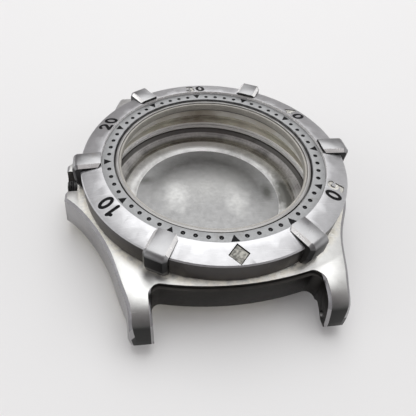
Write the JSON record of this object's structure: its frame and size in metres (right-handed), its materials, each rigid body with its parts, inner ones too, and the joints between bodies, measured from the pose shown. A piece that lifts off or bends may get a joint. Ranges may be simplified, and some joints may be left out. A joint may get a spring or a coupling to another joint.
{
  "type": "watch case",
  "caption": "Empty steel wristwatch case with a turning six-rider bezel, screw back, crown tube and lugs, ready for a movement, crystal, crown and strap.",
  "frame": {"origin": "on the case axis, at the back's flat outer face", "axes": "+Z to the crystal opening, +Y to 12 o'clock, +X to 3 o'clock where the crown tube is"},
  "size_m": [0.0402, 0.0452, 0.0103],
  "materials": {
    "middle_steel": "blasted top, brushed flanks, polished bevels and lug ends",
    "tube_steel": "turned",
    "gasket_nylon": "smooth translucent white",
    "spring_steel": "rolled",
    "seal_rubber": "greased",
    "bezel_steel": "worn satin with polished rider ends",
    "pip_filling": "dull, worn",
    "ring_steel": "bead blasted",
    "back_steel": "turned inside"
  },
  "bodies": {
    "middle": {"mid_case": "middle_steel", "crown_tube": "tube_steel", "crystal_gasket": "gasket_nylon", "click_spring": "spring_steel", "bezel_wire": "spring_steel", "bezel_gasket": "seal_rubber"},
    "bezel": {"bezel": "bezel_steel", "bezel_pip": "pip_filling", "minute_ring": "ring_steel"},
    "back_seal": {"case_back_gasket": "seal_rubber"},
    "back": {"case_back": "back_steel"}
  },
  "joints": [
    {"name": "bezel_turn", "type": "hinge", "parent": "middle", "child": "bezel", "pos_m": [0, 0, 0.0084], "axis": [0, 0, 1], "continuous": true},
    {"name": "back_drop", "type": "slide", "parent": "middle", "child": "back_seal", "axis": [0, 0, -1], "range_m": [0, 0.002]},
    {"name": "back_turn", "type": "hinge", "parent": "back_seal", "child": "back", "pos_m": [0, 0, 0.0029], "axis": [0, 0, -1], "range_deg": [0, 1440]}
  ],
  "couplings": [
    {"joint": "back_drop", "follows": "back_turn", "m_per_rad": 0.000079577}
  ]
}
